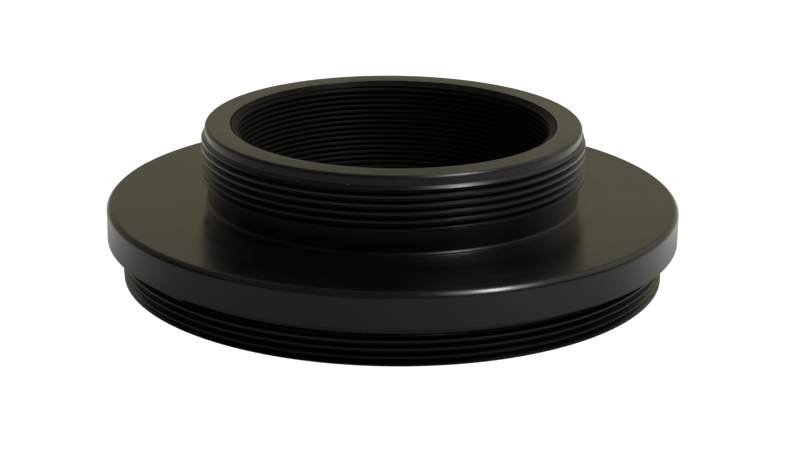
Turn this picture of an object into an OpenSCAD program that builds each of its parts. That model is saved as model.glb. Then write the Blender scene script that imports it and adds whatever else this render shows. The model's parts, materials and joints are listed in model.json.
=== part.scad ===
// Rotating coupling ring for telescope accessories, turned from black anodised aluminium.
// A threaded nose turns in a flanged ring that has a second male thread underneath, and a
// ribbed, threaded sleeve lines the bore. All sizes are in millimetres.
// The axis is Z, and Z = 0 is the lower end of the flanged ring.
// Threads are drawn as rings of V grooves at the true pitch, depth and major diameter.

/* [Flange] */
// Outer diameter of the flange
flange_d = 76; // [75:0.1:84]
// Thickness of the flange
flange_t = 4.7; // [4.5:0.05:6]
// Bevel on the upper edge of the flange
flange_bevel = 0.5; // [0.2:0.05:1]
// Thickness of the inner ledge that holds the nose down
ledge_t = 2.15; // [1.8:0.05:2.4]

/* [Lower thread] */
// Major diameter of the male thread under the flange
skirt_d = 72; // [71:0.1:73]
// Height of the threaded skirt under the flange
skirt_h = 5.3; // [5.2:0.1:6.5]
// Pitch of the male thread under the flange
skirt_pitch = 1; // [0.75:0.05:1]
// Number of grooves in the male thread under the flange
skirt_grooves = 3; // [2:1:3]
// Bore of the counterbore at the lower end
counterbore_d = 66.4; // [64:0.1:67]

/* [Nose] */
// Major diameter of the nose's male thread
nose_d = 50.8; // [50.4:0.05:51.2]
// Height of the nose above the flange
nose_h = 10.3; // [9.8:0.05:12]
// Pitch of the nose's male thread
nose_pitch = 1.0583; // [1:0.01:1.06]
// Number of grooves in the nose's male thread, the top one just under its lead-in bevel
nose_grooves = 5; // [4:1:5]
// Diameter of the plain band above the nose's thread
pilot_d = 49.85; // [49.6:0.05:50]
// Bevel on the outer edge of the rim
rim_bevel = 0.25; // [0.1:0.05:0.4]
// Diameter of the relief neck below the nose's thread
neck_d = 49.4; // [48.6:0.05:49.5]
// Diameter of the foot collar that stands above the flange
collar_d = 50; // [49.8:0.05:50.2]
// Height of the foot collar that stands above the flange
collar_h = 0.35; // [0.2:0.05:0.6]

/* [Bore] */
// Major diameter of the female thread in the sleeve
bore_thread_d = 42; // [41.6:0.1:42.2]
// Pitch of the female thread in the sleeve
bore_pitch = 0.75; // [0.7:0.05:0.8]
// Diameter at which the sleeve meets the rim of the nose
rim_d = 43.2; // [42.9:0.05:43.6]
// Outer diameter of the sleeve
sleeve_d = 46.4; // [46:0.1:46.6]

/* [Rotary joint] */
// Diameter of the plain journal on which the nose turns
journal_d = 51.4; // [51.3:0.05:51.8]
// Thickness of each glide washer
washer_t = 0.5; // [0.4:0.05:0.55]
// Thickness of the nose's inner lip
lip_t = 1.8; // [1.6:0.05:1.9]
// Diameter of the nose's inner lip
lip_d = 57.8; // [57:0.1:58.2]
// Thickness of the retaining ring
ring_t = 2.2; // [2:0.05:2.3]
// Diameter of the threaded seat of the retaining ring
seat_d = 59; // [58.6:0.1:60]
// Radial clearance between parts that turn in each other
running_gap = 0.06; // [0.02:0.01:0.1]
// Axial clearance over each face of the nose's inner lip
end_play = 0.05; // [0.02:0.01:0.1]

/* [Hidden] */
$fn = 180;

anodised_black = [0.07, 0.07, 0.065];
washer_white = [0.86, 0.85, 0.82];
ring_black = [0.10, 0.10, 0.10];

edge = 0.15;        // small bevel that breaks a turned edge
seat_gap = 0.04;    // between the retaining ring and its seat

// Heights, from the lower end of the flanged ring upwards
counterbore_top = 2.2;
flange_top = skirt_h + flange_t;
rim_z = flange_top + nose_h;
ledge_z = flange_top - ledge_t;
lip_top = ledge_z - washer_t - end_play;
lip_bottom = lip_top - lip_t;
lower_washer_z = lip_bottom - end_play - washer_t;
ring_z = lower_washer_z - ring_t;
nose_bottom = ring_z + 0.3;

// Thread form: 60 degree flanks, crests a quarter pitch wide (worn flat), and a depth of 0.6134 pitch
thread_depth = 0.6134;
crest_flat = 0.25;
flank_angle = 30;
overcut = 0.3;

// Nose thread: the crests run from the relief neck to the lead-in bevel
nose_r = nose_d / 2;
neck_top = flange_top + 3.05;
nose_groove_z = flange_top + 4;
neck_ramp = 0.3;
lead_top = flange_top + 9.05;       // the lead-in bevel runs at 45 degrees from here down to the crests
collar_edge = 0.1;
journal_r = journal_d / 2;

// Skirt thread: the grooves start above a plain starting land
skirt_r = skirt_d / 2;
skirt_groove_z = 0.65;
relief_z = skirt_groove_z + (skirt_grooves - 1) * skirt_pitch + skirt_pitch - 0.05;
relief_depth = 0.8;
skirt_edge = 0.1;

// Bore thread: the minor diameter is the wall that a male thread screws into. A fine joint line
// shows between the sleeve and the rim.
bore_minor_r = bore_thread_d / 2 - 0.5413 * bore_pitch;
bore_groove_z = nose_bottom + 1.1;
sleeve_step = 0.05;
sleeve_top = rim_z - sleeve_step;
rim_lip_h = 1;
shoulder_z = rim_z - rim_lip_h;
sleeve_gap = 0.02;
rim_gap = 0.14;
mouth_land = 0.05;
spigot_r = rim_d / 2 - rim_gap;
bevel_r = bore_minor_r + 0.36;
bevel_h = spigot_r - mouth_land - bevel_r;
lead_h = 0.21;
bore_grooves = floor((sleeve_top - bevel_h - lead_h - bore_groove_z) / bore_pitch) + 1;

// Half section of one V groove. The wall is at radius r, and side is 1 for a groove cut inwards
// from an outer wall, and -1 for a groove cut outwards from a bore.
module groove_section(r, pitch, side) {
    depth = thread_depth * pitch;
    mouth = (pitch - crest_flat * pitch) / 2;
    root = mouth - depth * tan(flank_angle);
    flare = mouth + overcut * tan(flank_angle);
    polygon([[r + side * overcut, -flare], [r - side * depth, -root],
             [r - side * depth, root], [r + side * overcut, flare]]);
}

// A row of V grooves, the first one at height z
module groove_row(r, pitch, z, count, side) {
    for (i = [0 : count - 1])
        translate([0, z + i * pitch]) groove_section(r, pitch, side);
}

// Spanner slots across the lower face of a ring, at height z
module spanner_slots(inner_r, outer_r, z, width, depth, count) {
    for (i = [0 : count - 1])
        rotate([0, 0, i * 360 / count])
            translate([inner_r - 1, -width / 2, z - 1])
                cube([outer_r - inner_r + 2, width, depth + 1]);
}

// Flange, male skirt and the ledge and seat of the rotary joint, in one piece
module flange_ring() {
    flange_r = flange_d / 2;
    relief_r = skirt_r - relief_depth;
    bore_r = journal_r + running_gap;
    counterbore_r = counterbore_d / 2;
    seat_r = seat_d / 2;
    color(anodised_black)
    rotate_extrude() difference() {
        polygon([
            [skirt_r - skirt_edge, 0], [skirt_r, skirt_edge],
            [skirt_r, relief_z], [relief_r, relief_z + relief_depth / 3],
            [relief_r, skirt_h], [flange_r - edge, skirt_h], [flange_r, skirt_h + edge],
            [flange_r, flange_top - flange_bevel], [flange_r - flange_bevel, flange_top],
            [bore_r, flange_top],
            [bore_r, ledge_z], [seat_r, ledge_z], [seat_r, counterbore_top + edge],
            [seat_r + edge, counterbore_top], [counterbore_r, counterbore_top],
            [counterbore_r, 2 * edge], [counterbore_r + 2 * edge, 0]
        ]);
        groove_row(skirt_r, skirt_pitch, skirt_groove_z, skirt_grooves, 1);
    }
}

// Threaded nose with its foot collar, relief neck, pilot band and inner lip
module nose_tube() {
    sleeve_r = sleeve_d / 2;
    lip_r = lip_d / 2;
    neck_r = neck_d / 2;
    pilot_r = pilot_d / 2;
    collar_r = collar_d / 2;
    collar_z = flange_top + collar_h;
    color(anodised_black)
    rotate_extrude() difference() {
        polygon([
            [sleeve_r + edge, nose_bottom], [journal_r - 2 * edge, nose_bottom],
            [journal_r, nose_bottom + 2 * edge],
            [journal_r, lip_bottom], [lip_r - edge, lip_bottom], [lip_r, lip_bottom + edge],
            [lip_r, lip_top - edge], [lip_r - edge, lip_top], [journal_r, lip_top],
            [journal_r, flange_top], [collar_r, flange_top],
            [collar_r, collar_z - collar_edge], [collar_r - collar_edge, collar_z], [neck_r, collar_z],
            [neck_r, neck_top], [nose_r, neck_top + neck_ramp],
            [nose_r, lead_top - nose_r + pilot_r], [pilot_r, lead_top],
            [pilot_r, rim_z - rim_bevel], [pilot_r - rim_bevel, rim_z],
            [rim_d / 2, rim_z], [rim_d / 2, shoulder_z], [sleeve_r, shoulder_z],
            [sleeve_r, nose_bottom + edge]
        ]);
        groove_row(nose_r, nose_pitch, nose_groove_z, nose_grooves, 1);
    }
}

// Sleeve that lines the bore, ribbed by its female thread from end to end
module threaded_sleeve() {
    outer_r = sleeve_d / 2 - sleeve_gap;
    color(anodised_black)
    difference() {
        rotate_extrude() difference() {
            polygon([
                [bore_minor_r + 0.6, nose_bottom], [outer_r - edge, nose_bottom],
                [outer_r, nose_bottom + edge],
                [outer_r, shoulder_z], [spigot_r, shoulder_z], [spigot_r, sleeve_top],
                [spigot_r - mouth_land, sleeve_top], [bevel_r, sleeve_top - bevel_h],
                [bore_minor_r, sleeve_top - bevel_h - lead_h],
                [bore_minor_r, nose_bottom + 0.6]
            ]);
            groove_row(bore_minor_r, bore_pitch, bore_groove_z, bore_grooves, -1);
        }
        spanner_slots(bore_minor_r, outer_r, nose_bottom, 1.6, 1, 2);
    }
}

// Flat low-friction washer whose lower face is at height z
module glide_washer(z) {
    color(washer_white)
    translate([0, 0, z]) difference() {
        cylinder(h = washer_t, r = lip_d / 2);
        translate([0, 0, -1]) cylinder(h = washer_t + 2, r = journal_r + 0.2);
    }
}

module upper_glide_washer() { glide_washer(ledge_z - washer_t); }
module lower_glide_washer() { glide_washer(lower_washer_z); }

// Slotted ring that screws up into the flanged ring and holds the nose in
module retaining_ring() {
    inner_r = journal_r + 0.1;
    outer_r = seat_d / 2 - seat_gap;
    ring_top = ring_z + ring_t;
    color(ring_black)
    difference() {
        rotate_extrude() polygon([
            [inner_r + 2 * edge, ring_z], [outer_r - 2 * edge, ring_z], [outer_r, ring_z + 2 * edge],
            [outer_r, ring_top - edge], [outer_r - edge, ring_top],
            [inner_r, ring_top], [inner_r, ring_z + 2 * edge]
        ]);
        spanner_slots(inner_r, outer_r, ring_z, 2.4, 1.2, 4);
    }
}

flange_ring();
nose_tube();
threaded_sleeve();
upper_glide_washer();
lower_glide_washer();
retaining_ring();
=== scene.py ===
"""Studio scene of a rotating, threaded coupling ring in black anodised aluminium.

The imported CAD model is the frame. The three turned bodies with threads on them are replaced by finer meshes
with true helical threads, broken edges and run-outs. The washers and the retaining ring keep their CAD shape.
Lengths in this script are in millimetres, and MM turns them into Blender's metres.
"""
import json
import math

import bmesh
import bpy
import numpy as np
from mathutils import Matrix, Vector


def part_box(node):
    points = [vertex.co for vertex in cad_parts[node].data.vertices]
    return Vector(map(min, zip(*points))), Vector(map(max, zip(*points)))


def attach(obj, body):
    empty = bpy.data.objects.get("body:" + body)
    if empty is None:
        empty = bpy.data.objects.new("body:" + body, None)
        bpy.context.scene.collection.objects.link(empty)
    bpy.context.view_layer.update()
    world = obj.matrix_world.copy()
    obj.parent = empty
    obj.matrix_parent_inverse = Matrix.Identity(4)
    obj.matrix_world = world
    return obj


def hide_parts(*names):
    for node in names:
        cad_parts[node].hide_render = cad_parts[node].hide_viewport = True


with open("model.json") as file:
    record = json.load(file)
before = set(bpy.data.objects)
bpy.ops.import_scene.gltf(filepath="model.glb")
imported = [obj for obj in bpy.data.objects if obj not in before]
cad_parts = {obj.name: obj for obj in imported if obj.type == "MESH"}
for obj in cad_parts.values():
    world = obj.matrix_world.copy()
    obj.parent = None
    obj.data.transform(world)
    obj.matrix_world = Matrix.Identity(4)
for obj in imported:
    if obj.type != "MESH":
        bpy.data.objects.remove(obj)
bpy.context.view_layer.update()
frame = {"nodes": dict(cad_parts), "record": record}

MM = 0.001
COLUMNS = 480            # segments round the axis
FRONT = 1.5 * math.pi    # the angle that faces the camera, where thread heights are stated
WELD = 0.0005            # distance at which points are joined
SHARP = math.radians(29)           # an edge bent by more than this is sharp


# ---------------------------------------------------------------- sizes, from the frame

def mount_radius(name):
    """Radius of a round mount in the record."""
    return next(m for m in frame["record"]["mounts"] if m["name"] == name)["dims"]["r_mm"]


def heights(node):
    """Lowest and highest z of a CAD node."""
    low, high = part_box(node)
    return low[2] / MM, high[2] / MM


def outer_radius(node):
    """Largest radius of a CAD node."""
    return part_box(node)[1][0] / MM


NOSE_R = mount_radius("nose_thread")
SKIRT_R = mount_radius("lower_thread")
BORE_R = mount_radius("camera_thread")
FLANGE_R = outer_radius("flange_ring")
LIP_R = outer_radius("nose_tube")
SLEEVE_R = outer_radius("threaded_sleeve")
FLANGE_TOP = heights("flange_ring")[1]
NOSE_BOTTOM, RIM_Z = heights("nose_tube")
SLEEVE_TOP = heights("threaded_sleeve")[1]
WASHER_BOTTOM, LEDGE_Z = heights("upper_glide_washer")
WASHER_TOP = heights("lower_glide_washer")[1]

SKIRT_H = 5.3            # height of the flange's underside
FLANGE_BEVEL = 0.5
FLANGE_ROUND = 0.6       # radius that rounds both edges of the flange bevel
COUNTERBORE_R = 33.2
COUNTERBORE_Z = 2.2
SEAT_R = 29.5
RUNNING_GAP = 0.06
VISIBLE_GAP = 0.01       # between the flange and the nose, where the flange's top shows it
GAP_DEPTH = 0.5          # how far down the visible gap goes, before it widens to the running gap
END_PLAY = 0.05
RELIEF_R = SKIRT_R - 0.8
RELIEF_Z = 3.6
RELIEF_TOP = RELIEF_Z + 0.27
SKIRT_EDGE = 0.1
EDGE = 0.15              # radius that breaks a turned edge
HOLD = 0.05              # distance of the ring that keeps a thread's end crisp

JOURNAL_R = 25.7
COLLAR_R = 25.0
COLLAR_TOP = FLANGE_TOP + 0.35
NECK_R = 24.7
NECK_TOP = FLANGE_TOP + 3.05
PILOT_R = 24.925
NECK_RAMP = 0.3
LEAD_TOP = FLANGE_TOP + 9.05      # the lead-in bevel runs from here down to the crests
LEAD_IN = NOSE_R - PILOT_R        # width and height of that bevel
LEAD_LOW, LEAD_HIGH = 0.12, 0.72  # the bevel bulges through these shares of it, so its highlight is thin
RIM_BEVEL = 0.25
RIM_ROUND = 0.28         # radius that rounds both edges of the rim bevel

RIM_R = 21.6             # where the sleeve meets the nose's rim
RIM_GAP = 0.14
SHOULDER_Z = RIM_Z - 1.0
LINER_R = 23.2           # bore of the nose tube
SPIGOT_R = RIM_R - RIM_GAP
SLEEVE_MOUTH = SPIGOT_R - 0.05
BEVEL_R = BORE_R + 0.36  # where the mouth's bevel meets the thread's first flank
LEAD_H = 0.21
SLEEVE_FOOT = 0.6        # bevel at the lower end of the bore
SLOT_TOP = NOSE_BOTTOM + 1.0      # of the two spanner slots under the sleeve
SLOT_WIDTH = 1.6

# pitch of each thread, and the height of one of its grooves at the front
SKIRT_PITCH, SKIRT_GROOVE_Z = 1.0, 0.65
NOSE_PITCH, NOSE_GROOVE_Z = 25.4 / 24, FLANGE_TOP + 4.0
BORE_PITCH, BORE_GROOVE_Z = 0.75, NOSE_BOTTOM + 1.1
SKIRT_FADE = (0.55, 0.3)          # where the lowest groove is full, and where it has run out
BORE_FADE = (NOSE_BOTTOM + 1.6, NOSE_BOTTOM + 1.1)


# ---------------------------------------------------------------- turned bodies

ROUND_STEPS = 4          # segments of a rounded corner
ROUND_HOLD = 0.6         # distance of the holding rings, in lengths of the round's legs


def rounded(corners):
    """An open outline of (r, z, wear) points from (r, z, radius) corners, with each corner's radius rounded.

    A holding ring lies just beyond each round, so that flat faces shade flat.
    """
    points = []
    for i, (r, z, radius) in enumerate(corners):
        if not radius:
            points.append((r, z, 0.0))
            continue
        here = Vector((r, z))
        back = Vector(corners[i - 1][:2]) - here
        onward = Vector(corners[i + 1][:2]) - here
        reach = radius / math.tan(back.angle(onward) / 2)
        start = here + back.normalized() * reach
        end = here + onward.normalized() * reach
        if back.length > reach * (2 + 2 * ROUND_HOLD):
            points.append((*(start + back.normalized() * reach * ROUND_HOLD), 0.0))
        for step in range(ROUND_STEPS + 1):
            t = step / ROUND_STEPS
            point = start * (1 - t) ** 2 + here * 2 * t * (1 - t) + end * t ** 2
            points.append((*point, 1.0))
        if onward.length > reach * (2 + 2 * ROUND_HOLD):
            points.append((*(end + onward.normalized() * reach * ROUND_HOLD), 0.0))
    return points


class Thread:
    """A right-handed V thread on a stretch of wall.

    wall is the stretch as (r, z) points in order of z, with its bevels. major is the crest radius of a male
    thread, or the minor radius of a female one. front_z is the height of one groove's middle at the angle
    FRONT. Each of fades is (z where the groove is full, z where it has run out).
    """
    FLANK = math.radians(30)
    DEPTH = 0.6134           # of a 60 degree thread with flat crests, in pitches
    CREST = 0.25             # crest flat, worn wide, in pitches
    FLANK_ROWS = 3
    BEVEL_DROP = 0.01        # the wall is a bevel where it lies further than this from the major radius

    def __init__(self, wall, major, male, pitch, front_z, fades=()):
        self.wall, self.major, self.male = wall, major, male
        self.pitch, self.front_z, self.fades = pitch, front_z, fades
        flank = self.DEPTH * math.tan(self.FLANK)
        mouth = (1 - self.CREST) / 2
        root = mouth - flank
        # (distance from the groove's middle, share of the full depth), from root to crest
        self.section = [(0, 1)]
        for row in range(self.FLANK_ROWS + 1):
            self.section.append((root + flank * row / self.FLANK_ROWS, 1 - row / self.FLANK_ROWS))
        self.section.append((0.5, 0))

    def rows(self, angles):
        """Heights of the helical rows: one line for each row, one column for each angle.

        A row climbs one pitch in a turn, and is held at the ends of the wall. The row nearest to a corner of
        the wall is moved onto it, so that bevels stay crisp rings.
        """
        low, high = self.wall[0][1], self.wall[-1][1]
        half = [distance for distance, _ in self.section]
        phases = sorted({round(p % 1, 6) for p in half + [-p for p in half]})
        first = math.floor((low - self.front_z) / self.pitch) - 2
        turns = math.ceil((high - low) / self.pitch) + 4
        start = np.array([first + turn + phase for turn in range(turns) for phase in phases])
        z = self.front_z + self.pitch * (start[:, None] + self.climb(angles)[None, :])
        z = np.clip(z, low, high)
        for _, corner in self.wall[1:-1]:
            nearest = np.argmin(np.abs(z - corner), axis=0)
            z[nearest, np.arange(len(angles))] = corner
        return z

    @staticmethod
    def climb(angles):
        """How far a row has risen at each angle since FRONT, in pitches."""
        return (angles - FRONT) / (2 * math.pi)

    def surface(self, angles):
        """Radius, height and wear of every point of the threaded wall.

        A male thread runs from its lower end to its upper one, and a female one the other way. Only the
        wall's bevels are worn.
        """
        z = self.rows(angles)
        base = np.interp(z, [p[1] for p in self.wall], [p[0] for p in self.wall])
        turn = (z - self.front_z) / self.pitch - self.climb(angles)[None, :]
        phase = (turn + 0.5) % 1 - 0.5
        share = np.interp(np.abs(phase), [p[0] for p in self.section], [p[1] for p in self.section])
        middle = z - phase * self.pitch
        for full, gone in self.fades:
            t = np.clip((middle - gone) / (full - gone), 0, 1)
            share = share * t * t * (3 - 2 * t)
        depth = share * self.DEPTH * self.pitch
        if self.male:
            r = np.minimum(base, self.major - depth)
        else:
            r = np.maximum(base, self.major + depth)
        wear = ((r == base) & (np.abs(base - self.major) > self.BEVEL_DROP)).astype(float)
        return (r, z, wear) if self.male else (r[::-1], z[::-1], wear[::-1])


class Columns:
    """Angles of a turned body's columns, from the back round to the back.

    A slot across the lower face is as wide as width all along, so a close pair of columns stands at each of
    its sides, at a set distance from its middle line.
    """
    PAIR_GAP = 0.008         # between the two columns of a pair

    def __init__(self, slots=(), width=0.0, reach=1.0):
        step = 2 * math.pi / COLUMNS
        # (angle, angle of its slot's middle line, distance from that line, inside the slot)
        columns = [(math.pi / 2 + i * step, 0.0, 0.0, False) for i in range(COLUMNS + 1)]
        half = math.asin(width / 2 / reach)
        for middle in slots:
            columns = [c for c in columns if not half - step / 2 < abs(c[0] - middle) < half + step / 2]
            columns = [(*c[:3], c[3] or abs(c[0] - middle) < half) for c in columns]
            for side in (-1, 1):
                for shift in (-self.PAIR_GAP / 2, self.PAIR_GAP / 2):
                    distance = side * (width / 2 + shift)
                    columns.append((middle + math.asin(distance / reach), middle, distance, shift < 0))
        columns.sort()
        self.angles, self.middle, self.distance = (np.array([c[i] for c in columns]) for i in range(3))
        self.inside = np.array([c[3] for c in columns])

    def spread(self, r):
        """Angle of each point of a grid of radii."""
        slanted = self.middle + np.arcsin(self.distance / r)
        return np.where(self.distance == 0, self.angles, slanted)


def turned(name, sections, body, node, material, columns=None, slot_top=0.0):
    """A closed body turned about Z, which replaces a CAD node and rides on its body.

    sections are outlines of (r, z, wear) points and Threads, in counter-clockwise order round the half
    section. The last column lies on the first one, where helical rows meet the rows one turn on. The columns
    inside a slot are lifted to slot_top.
    """
    columns = columns or Columns()
    width = len(columns.angles)
    grids = []
    for section in sections:
        if isinstance(section, Thread):
            grids.append(np.stack(section.surface(columns.angles), axis=-1))
        else:
            rings = np.array(section)
            grids.append(np.repeat(rings[:, None, :], width, axis=1))
    grid = np.concatenate([*grids, grids[0][:1]])
    r, z, wear = grid[..., 0], grid[..., 1], grid[..., 2]
    z = np.where(columns.inside, np.maximum(z, slot_top), z)
    turn = columns.spread(r)
    points = np.stack([r * np.cos(turn), r * np.sin(turn), z], axis=-1).reshape(-1, 3) * MM
    corner = (np.arange(len(grid) - 1)[:, None] * width + np.arange(width - 1)[None, :]).ravel()
    faces = np.stack([corner, corner + 1, corner + width + 1, corner + width], axis=-1)

    mesh = bpy.data.meshes.new(name)
    mesh.from_pydata(points.tolist(), [], faces.tolist())
    mesh.attributes.new("wear", "FLOAT", "POINT").data.foreach_set("value", wear.ravel())
    work = bmesh.new()
    work.from_mesh(mesh)
    bmesh.ops.remove_doubles(work, verts=work.verts, dist=WELD * MM)
    bmesh.ops.recalc_face_normals(work, faces=work.faces)
    work.to_mesh(mesh)
    work.free()
    mesh.shade_smooth()
    mesh.set_sharp_from_angle(angle=SHARP)
    piece = bpy.data.objects.new(name, mesh)
    bpy.context.scene.collection.objects.link(piece)
    mesh.materials.append(material)
    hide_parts(node)
    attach(piece, body)
    return piece


# ---------------------------------------------------------------- materials

class Nodes:
    """A short way to write a node tree."""

    def __init__(self, tree):
        self.tree = tree
        tree.nodes.clear()

    def add(self, kind, inputs=None, **settings):
        """A node with its settings, and its inputs by name or number: a socket is linked, a value is set."""
        node = self.tree.nodes.new(kind)
        for key, value in settings.items():
            setattr(node, key, value)
        for key, value in (inputs or {}).items():
            if isinstance(value, bpy.types.NodeSocket):
                self.tree.links.new(value, node.inputs[key])
            else:
                node.inputs[key].default_value = value
        return node

    def math(self, operation, *values):
        return self.add("ShaderNodeMath", dict(enumerate(values)), operation=operation).outputs[0]

    def noise(self, vector, scale, detail=2.0, roughness=0.5):
        inputs = {"Vector": vector, "Scale": scale, "Detail": detail, "Roughness": roughness}
        return self.add("ShaderNodeTexNoise", inputs).outputs["Fac"]

    def map(self, value, low, high, to_low, to_high):
        inputs = {"Value": value, "From Min": low, "From Max": high, "To Min": to_low, "To Max": to_high}
        return self.add("ShaderNodeMapRange", inputs).outputs[0]

    def mix(self, factor, a, b, blend_type="MIX"):
        """Mix of two colours. The sockets go by number, because a Mix node has several of each name."""
        inputs = {0: factor, 6: a, 7: b}
        return self.add("ShaderNodeMix", inputs, data_type="RGBA", blend_type=blend_type).outputs[2]


GLOSS_SPREAD = 0.06      # how much the roughness of anodised faces varies
BARE, MOST_BARE = (0.11, 0.11, 0.105, 1), 0.03       # metal that shows on worn edges, and how much of it
DUST, MOST_DUST = (0.16, 0.155, 0.14, 1), 0.5
TURN_LENGTH = 0.0006     # how far the lathe coordinates go for a radian, which draws tool marks out long


def anodised(name, colour, roughness, edge_roughness=0.0, specular=0.5):
    """Black anodised, fine-turned aluminium: tool marks round the axis, smudges, dust and worn edges."""
    material = bpy.data.materials.new(name)
    material.use_nodes = True
    n = Nodes(material.node_tree)
    place = n.add("ShaderNodeTexCoord").outputs["Object"]
    axes = n.add("ShaderNodeSeparateXYZ", {0: place})
    x, y, z = axes.outputs
    radius = n.math("SQRT", n.math("ADD", n.math("MULTIPLY", x, x), n.math("MULTIPLY", y, y)))
    angle = n.math("ARCTAN2", y, x)
    turn = n.math("MULTIPLY", angle, TURN_LENGTH)
    lathe = n.add("ShaderNodeCombineXYZ", {0: radius, 1: z, 2: turn}).outputs[0]

    marks = n.noise(lathe, 5200.0, 3.0, 0.6)
    bands = n.noise(lathe, 420.0, 2.0, 0.5)
    smudges = n.noise(place, 75.0, 4.0, 0.6)
    grain = n.noise(place, 5200.0, 2.0, 0.5)

    rough = n.math("ADD", n.map(bands, 0.3, 0.7, roughness - GLOSS_SPREAD / 2, roughness + GLOSS_SPREAD / 2),
                   n.map(smudges, 0.35, 0.75, -GLOSS_SPREAD / 2, GLOSS_SPREAD))
    wear = n.add("ShaderNodeAttribute", attribute_name="wear").outputs["Fac"]
    rough = n.math("ADD", rough, n.math("MULTIPLY", wear, edge_roughness))
    chips = n.map(n.noise(place, 900.0, 3.0, 0.7), 0.52, 0.66, 0.0, MOST_BARE)
    bare = n.math("MULTIPLY", wear, chips)
    dust = n.map(n.noise(place, 2600.0, 1.0, 0.4), 0.80, 0.84, 0.0, MOST_DUST)
    tint = n.mix(dust, n.mix(bare, (*colour, 1), BARE), DUST)

    height = n.math("ADD", n.math("MULTIPLY", marks, 0.7), n.math("MULTIPLY", grain, 0.3))
    bump = n.add("ShaderNodeBump", {"Height": height, "Strength": 0.25, "Distance": 0.004 * MM})
    tangent = n.add("ShaderNodeTangent", direction_type="RADIAL", axis="Z")
    shader = n.add("ShaderNodeBsdfPrincipled", {
        "Base Color": tint, "Roughness": rough, "IOR": 1.5, "Specular IOR Level": specular,
        "Anisotropic": 0.8, "Anisotropic Rotation": 0.25, "Normal": bump.outputs[0],
        "Tangent": tangent.outputs[0]})
    n.add("ShaderNodeOutputMaterial", {"Surface": shader.outputs[0]})
    return material


def plastic(name, colour, roughness):
    """Thin low-friction plastic sheet, slightly cloudy, with faint handling marks."""
    material = bpy.data.materials.new(name)
    material.use_nodes = True
    n = Nodes(material.node_tree)
    place = n.add("ShaderNodeTexCoord").outputs["Object"]
    cloud = n.noise(place, 260.0, 4.0, 0.6)
    scuffs = n.noise(place, 2200.0, 2.0, 0.6)
    cloudy = [c * 0.86 for c in colour]
    tone = n.mix(n.map(cloud, 0.3, 0.7, 0.0, 1.0), (*colour, 1), (*cloudy, 1))
    rough = n.map(scuffs, 0.3, 0.7, roughness - 0.06, roughness + 0.08)
    bump = n.add("ShaderNodeBump", {"Height": scuffs, "Strength": 0.3, "Distance": 0.01 * MM})
    shader = n.add("ShaderNodeBsdfPrincipled", {
        "Base Color": tone, "Roughness": rough, "IOR": 1.36, "Normal": bump.outputs[0]})
    n.add("ShaderNodeOutputMaterial", {"Surface": shader.outputs[0]})
    return material


# ---------------------------------------------------------------- camera, floor and light

ELEVATION = math.radians(18.45)
DISTANCE = 278.65        # from the camera to the point that it looks at
AIM_Z = 5.21             # height of that point on the axis
ROLL = math.radians(0.574)
LENS, SENSOR = 93.18, 36.0
SHIFT_X = 0.00935


def make_camera():
    data = bpy.data.cameras.new("camera")
    data.lens, data.sensor_width, data.shift_x = LENS, SENSOR, SHIFT_X
    data.clip_start, data.clip_end = 0.01, 20.0
    camera = bpy.data.objects.new("camera", data)
    aim = Vector((0, 0, AIM_Z * MM))
    back = Vector((0, -math.cos(ELEVATION), math.sin(ELEVATION)))
    turn = back.to_track_quat("Z", "Y").to_matrix().to_4x4() @ Matrix.Rotation(ROLL, 4, "Z")
    camera.matrix_world = Matrix.Translation(aim + back * DISTANCE * MM) @ turn
    bpy.context.scene.collection.objects.link(camera)
    bpy.context.scene.camera = camera


WHITE = 1.1              # strength of the floor and of the room behind it to the camera: just past white
FLOOR_RADIUS = 2500
FLOOR_Z = -0.02
SHADOW_REACH = (38, 54)  # distances from the axis at which the contact shadow is full and gone
SHADOW_DEPTH = 0.3       # what is left of a reflection in the full shadow


def make_floor():
    """A pale floor that fills the view, and shows from above only, so that the part can be seen from below.

    In reflections the world stands in for it. There it only darkens, close to the part, as a contact shadow.
    """
    mesh = bpy.data.meshes.new("floor")
    work = bmesh.new()
    bmesh.ops.create_circle(work, cap_ends=True, segments=96, radius=FLOOR_RADIUS * MM)
    work.to_mesh(mesh)
    work.free()
    floor = bpy.data.objects.new("floor", mesh)
    floor.location.z = FLOOR_Z * MM
    bpy.context.scene.collection.objects.link(floor)
    material = bpy.data.materials.new("floor_white")
    material.use_nodes = True
    n = Nodes(material.node_tree)
    shader = n.add("ShaderNodeBsdfPrincipled", {
        "Base Color": (0.02, 0.02, 0.02, 1), "Roughness": 0.9,
        "Emission Color": (1, 1, 1, 1), "Emission Strength": WHITE})
    clear = n.add("ShaderNodeBsdfTransparent")
    geometry = n.add("ShaderNodeNewGeometry").outputs
    one_sided = n.add("ShaderNodeMixShader", {0: geometry["Backfacing"], 1: shader.outputs[0],
                                              2: clear.outputs[0]})
    distance = n.add("ShaderNodeVectorMath", {0: geometry["Position"]}, operation="LENGTH").outputs["Value"]
    near, far = SHADOW_REACH
    shade = n.map(distance, near * MM, far * MM, SHADOW_DEPTH, 1.0)
    grey = n.add("ShaderNodeCombineColor", {0: shade, 1: shade, 2: shade}).outputs[0]
    shadow = n.add("ShaderNodeBsdfTransparent", {"Color": grey})
    ray = n.add("ShaderNodeLightPath").outputs["Is Camera Ray"]
    surface = n.add("ShaderNodeMixShader", {0: ray, 1: shadow.outputs[0], 2: one_sided.outputs[0]})
    n.add("ShaderNodeOutputMaterial", {"Surface": surface.outputs[0]})
    mesh.materials.append(material)
    floor.visible_diffuse = False


WINDOW = (0.70, 0.32, 0.63)      # direction of a soft bright patch behind the object, high on the right
WINDOW_EDGE = 0.84               # cosine of the angle at which the patch has faded out
WINDOW_GLOW = 0.6
WINDOW_COLOUR = (1.0, 0.98, 0.90, 1)
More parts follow.
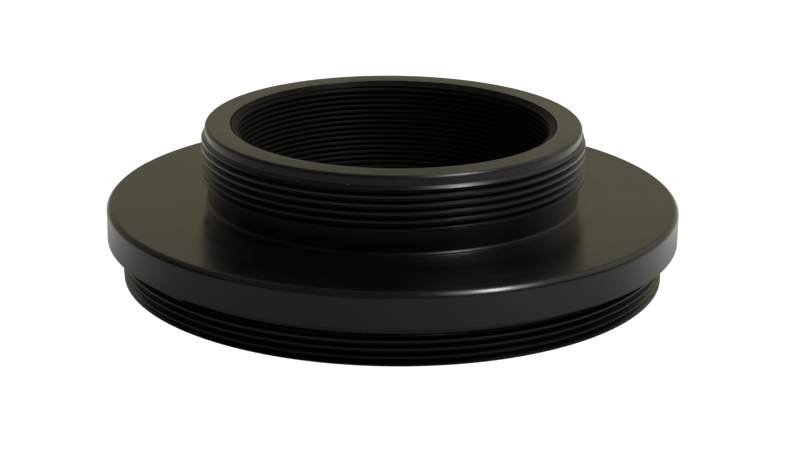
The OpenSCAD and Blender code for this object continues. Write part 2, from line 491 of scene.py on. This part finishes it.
# from the object's left to its right
ROOM_SIDE = [(0.0, (0.44, 0.44, 0.44)), (0.3, (0.46, 0.46, 0.46)), (0.6, (0.55, 0.55, 0.55)),
             (0.9, (0.76, 0.76, 0.76))]
# from straight down to straight up: a neutral table, a dark room towards the camera's side, and a dim ceiling
ROOM_FRONT = [(0.30, (0.80, 0.80, 0.80)), (0.48, (0.77, 0.77, 0.77)), (0.54, (0.12, 0.12, 0.12)),
              (0.72, (0.10, 0.10, 0.10)), (0.85, (0.45, 0.45, 0.43)), (0.92, (0.30, 0.30, 0.29)),
              (0.98, (0.22, 0.22, 0.21))]
# the same on the far side: a brighter table, then a warm wall
ROOM_BACK = [(0.30, (1.45, 1.45, 1.40)), (0.49, (1.40, 1.40, 1.35)), (0.53, (0.68, 0.67, 0.62)),
             (0.62, (0.78, 0.74, 0.48)), (0.70, (0.68, 0.65, 0.44)), (0.85, (0.40, 0.39, 0.34)),
             (0.92, (0.30, 0.30, 0.29)), (0.98, (0.22, 0.22, 0.21))]
FRONT_END, BACK_END = 0.1, 0.8   # the front of the room fades into its back between these y of a direction


def ramp(n, value, stops):
    """Colour of a ramp with the given stops, each a place and a colour."""
    node = n.add("ShaderNodeValToRGB", {0: value})
    node.color_ramp.interpolation = "EASE"
    elements = node.color_ramp.elements
    while len(elements) < len(stops):
        elements.new(0.5)
    for element, (place, colour) in zip(elements, stops):
        element.position = place
        element.color = (*colour, 1)
    return node.outputs[0]


def make_world():
    """White to the camera. To the object, a soft room, darker on its left and brighter on its right."""
    world = bpy.data.worlds.new("studio")
    world.use_nodes = True
    bpy.context.scene.world = world
    n = Nodes(world.node_tree)
    direction = n.add("ShaderNodeTexCoord").outputs["Generated"]
    x, y, z = n.add("ShaderNodeSeparateXYZ", {0: direction}).outputs
    side = ramp(n, n.map(x, -1.0, 1.0, 0.0, 1.0), ROOM_SIDE)
    height = n.map(z, -1.0, 1.0, 0.0, 1.0)
    front, back = ramp(n, height, ROOM_FRONT), ramp(n, height, ROOM_BACK)
    rise = n.mix(n.map(y, FRONT_END, BACK_END, 0.0, 1.0), front, back)
    both = n.mix(1.0, side, rise, "MULTIPLY")
    window = {0: direction, 1: Vector(WINDOW).normalized()}
    toward = n.add("ShaderNodeVectorMath", window, operation="DOT_PRODUCT").outputs["Value"]
    lit = n.mix(n.map(toward, WINDOW_EDGE, 1.0, 0.0, WINDOW_GLOW), both, WINDOW_COLOUR, "ADD")
    room = n.add("ShaderNodeBackground", {"Color": lit, "Strength": 1.0})
    white = n.add("ShaderNodeBackground", {"Color": (1, 1, 1, 1), "Strength": WHITE})
    ray = n.add("ShaderNodeLightPath").outputs["Is Camera Ray"]
    mixed = n.add("ShaderNodeMixShader", {0: ray, 1: room.outputs[0], 2: white.outputs[0]})
    n.add("ShaderNodeOutputWorld", {"Surface": mixed.outputs[0]})


LAMP = (0.42, -0.20, 0.885)      # direction of the lamps, high on the right, towards the camera's side
LAMP_DISTANCE = 900


def make_lamp(name, size, power):
    """A round soft lamp, which draws the highlights."""
    data = bpy.data.lights.new(name, "AREA")
    data.shape, data.size, data.energy = "DISK", size * MM, power
    lamp = bpy.data.objects.new(name, data)
    toward = Vector(LAMP).normalized()
    lamp.location = toward * LAMP_DISTANCE * MM
    lamp.rotation_mode = "QUATERNION"
    lamp.rotation_quaternion = toward.to_track_quat("Z", "Y")
    bpy.context.scene.collection.objects.link(lamp)


# ---------------------------------------------------------------- the object

black, dull_black = (0.0022, 0.0022, 0.0021), (0.009, 0.009, 0.0086)
flange_finish = anodised("flange_anodised", black, 0.20, edge_roughness=0.03)
nose_finish = anodised("nose_anodised", black, 0.21, edge_roughness=0.12, specular=0.45)
sleeve_finish = anodised("sleeve_anodised", dull_black, 0.50, specular=0.04)
ring_finish = anodised("ring_anodised", black, 0.30)
washer_finish = plastic("washer_plastic", (0.80, 0.79, 0.76), 0.45)

skirt_wall = [(SKIRT_R - SKIRT_EDGE, 0), (SKIRT_R, SKIRT_EDGE), (SKIRT_R, RELIEF_Z), (RELIEF_R, RELIEF_TOP)]
skirt_thread = Thread(skirt_wall, SKIRT_R, True, SKIRT_PITCH, SKIRT_GROOVE_Z, fades=[SKIRT_FADE])
flange_outline = rounded([
    (RELIEF_R, RELIEF_TOP, 0), (RELIEF_R, SKIRT_H, 0.2), (FLANGE_R, SKIRT_H, EDGE),
    (FLANGE_R, FLANGE_TOP - FLANGE_BEVEL, FLANGE_ROUND),
    (FLANGE_R - FLANGE_BEVEL, FLANGE_TOP, FLANGE_ROUND),
    (JOURNAL_R + VISIBLE_GAP, FLANGE_TOP, 0), (JOURNAL_R + VISIBLE_GAP, FLANGE_TOP - GAP_DEPTH, 0),
    (JOURNAL_R + RUNNING_GAP, FLANGE_TOP - GAP_DEPTH, 0), (JOURNAL_R + RUNNING_GAP, LEDGE_Z, 0.05),
    (SEAT_R, LEDGE_Z, 0.1), (SEAT_R, COUNTERBORE_Z, EDGE), (COUNTERBORE_R, COUNTERBORE_Z, 0.2),
    (COUNTERBORE_R, 2 * EDGE, 0.05), (COUNTERBORE_R + 2 * EDGE, 0, 0.05), (SKIRT_R - SKIRT_EDGE, 0, 0)])
turned("flange_ring_turned", [skirt_thread, flange_outline], "flange", "flange_ring",
       flange_finish)

nose_wall = [(NECK_R, NECK_TOP), (NOSE_R, NECK_TOP + NECK_RAMP), (NOSE_R, LEAD_TOP - LEAD_IN),
             (NOSE_R - LEAD_IN * LEAD_LOW, LEAD_TOP - LEAD_IN * LEAD_HIGH),
             (NOSE_R - LEAD_IN * LEAD_HIGH, LEAD_TOP - LEAD_IN * LEAD_LOW), (PILOT_R, LEAD_TOP)]
nose_thread = Thread(nose_wall, NOSE_R, True, NOSE_PITCH, NOSE_GROOVE_Z)
lip_top, lip_bottom = WASHER_BOTTOM - END_PLAY, WASHER_TOP + END_PLAY
nose_outline = rounded([
    (PILOT_R, LEAD_TOP, 0), (PILOT_R, LEAD_TOP + HOLD, 0), (PILOT_R, RIM_Z - RIM_BEVEL, RIM_ROUND),
    (PILOT_R - RIM_BEVEL, RIM_Z, RIM_ROUND), (RIM_R, RIM_Z, 0.05), (RIM_R, SHOULDER_Z, 0.05),
    (LINER_R, SHOULDER_Z, 0.1), (LINER_R, NOSE_BOTTOM, EDGE), (JOURNAL_R, NOSE_BOTTOM, 2 * EDGE),
    (JOURNAL_R, lip_bottom, 0.1), (LIP_R, lip_bottom, EDGE), (LIP_R, lip_top, EDGE),
    (JOURNAL_R, lip_top, 0.1), (JOURNAL_R, FLANGE_TOP, 0), (COLLAR_R, FLANGE_TOP, 0.05),
    (COLLAR_R, COLLAR_TOP, 0.2), (NECK_R, COLLAR_TOP, 0.08), (NECK_R, NECK_TOP - HOLD, 0),
    (NECK_R, NECK_TOP, 0)])
turned("nose_tube_turned", [nose_thread, nose_outline], "nose", "nose_tube", nose_finish)

bevel_end = SLEEVE_TOP - (SLEEVE_MOUTH - BEVEL_R)
bore_wall = [(BORE_R + SLEEVE_FOOT, NOSE_BOTTOM), (BORE_R, NOSE_BOTTOM + SLEEVE_FOOT),
             (BORE_R, bevel_end - LEAD_H), (BEVEL_R, bevel_end), (SLEEVE_MOUTH, SLEEVE_TOP)]
bore_thread = Thread(bore_wall, BORE_R, False, BORE_PITCH, BORE_GROOVE_Z, fades=[BORE_FADE])
sleeve_outline = rounded([
    (BORE_R + SLEEVE_FOOT, NOSE_BOTTOM, 0), (SLEEVE_R, NOSE_BOTTOM, EDGE), (SLEEVE_R, SHOULDER_Z, 0.05),
    (SPIGOT_R, SHOULDER_Z, 0.05), (SPIGOT_R, SLEEVE_TOP, 0.02), (SLEEVE_MOUTH, SLEEVE_TOP, 0)])
turned("threaded_sleeve_turned", [sleeve_outline, bore_thread], "nose", "threaded_sleeve",
       sleeve_finish, Columns((math.pi, 2 * math.pi), SLOT_WIDTH, SLEEVE_R), SLOT_TOP)

for node, finish in (("retaining_ring", ring_finish), ("upper_glide_washer", washer_finish),
                     ("lower_glide_washer", washer_finish)):
    frame["nodes"][node].material_slots[0].material = finish

make_camera()
make_floor()
make_world()
make_lamp("lamp", 130, 3.1)
make_lamp("lamp_halo", 420, 1.9)         # the glow round the lamp, which gives the highlights long ends
bpy.context.scene.view_settings.view_transform = "Standard"
